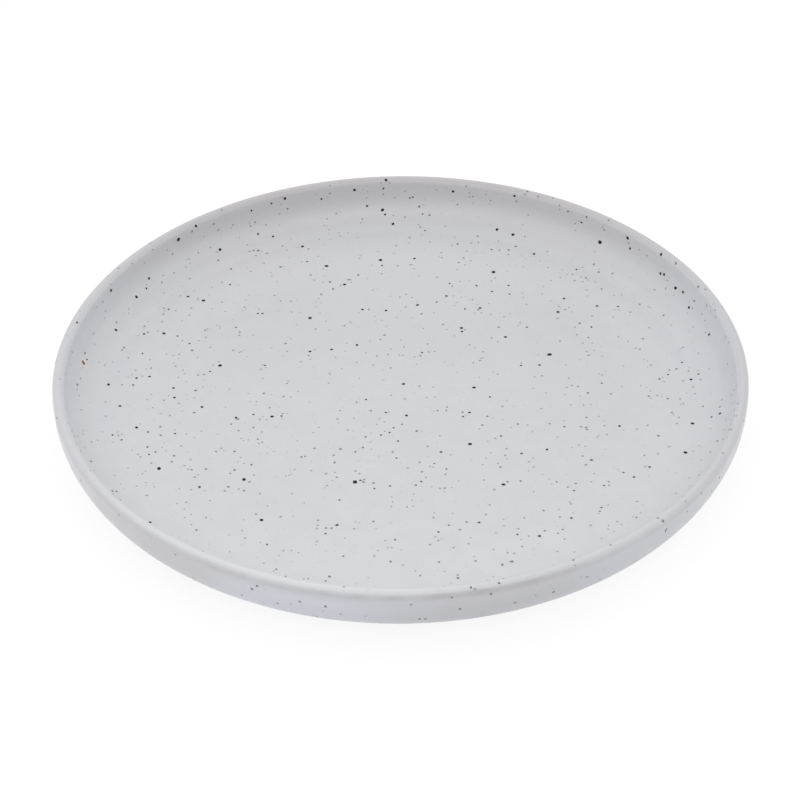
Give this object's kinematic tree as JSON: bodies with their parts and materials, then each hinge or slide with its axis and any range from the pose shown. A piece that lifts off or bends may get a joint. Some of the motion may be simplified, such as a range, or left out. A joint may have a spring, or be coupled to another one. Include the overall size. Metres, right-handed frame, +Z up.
{
  "type": "dinner plate",
  "caption": "Round walled stoneware dinner plate with a flat well, a low upright wall with a rounded lip, a speckled pale glaze and a bare clay foot ring.",
  "frame": {"origin": "centre of the foot ring in the plane that the plate rests on", "axes": "+Z up along the axis of the round plate, out of the well; X and Y are any two level directions, as the plate is round"},
  "size_m": [0.27, 0.27, 0.027],
  "materials": {
    "stoneware": "bare fired clay, matt and slightly sandy",
    "speckled_glaze": "satin pale grey-white glaze with scattered dark iron specks"
  },
  "bodies": {
    "root": {"stoneware_body": "stoneware", "face_glaze": "speckled_glaze", "base_glaze": "speckled_glaze"}
  },
  "joints": []
}
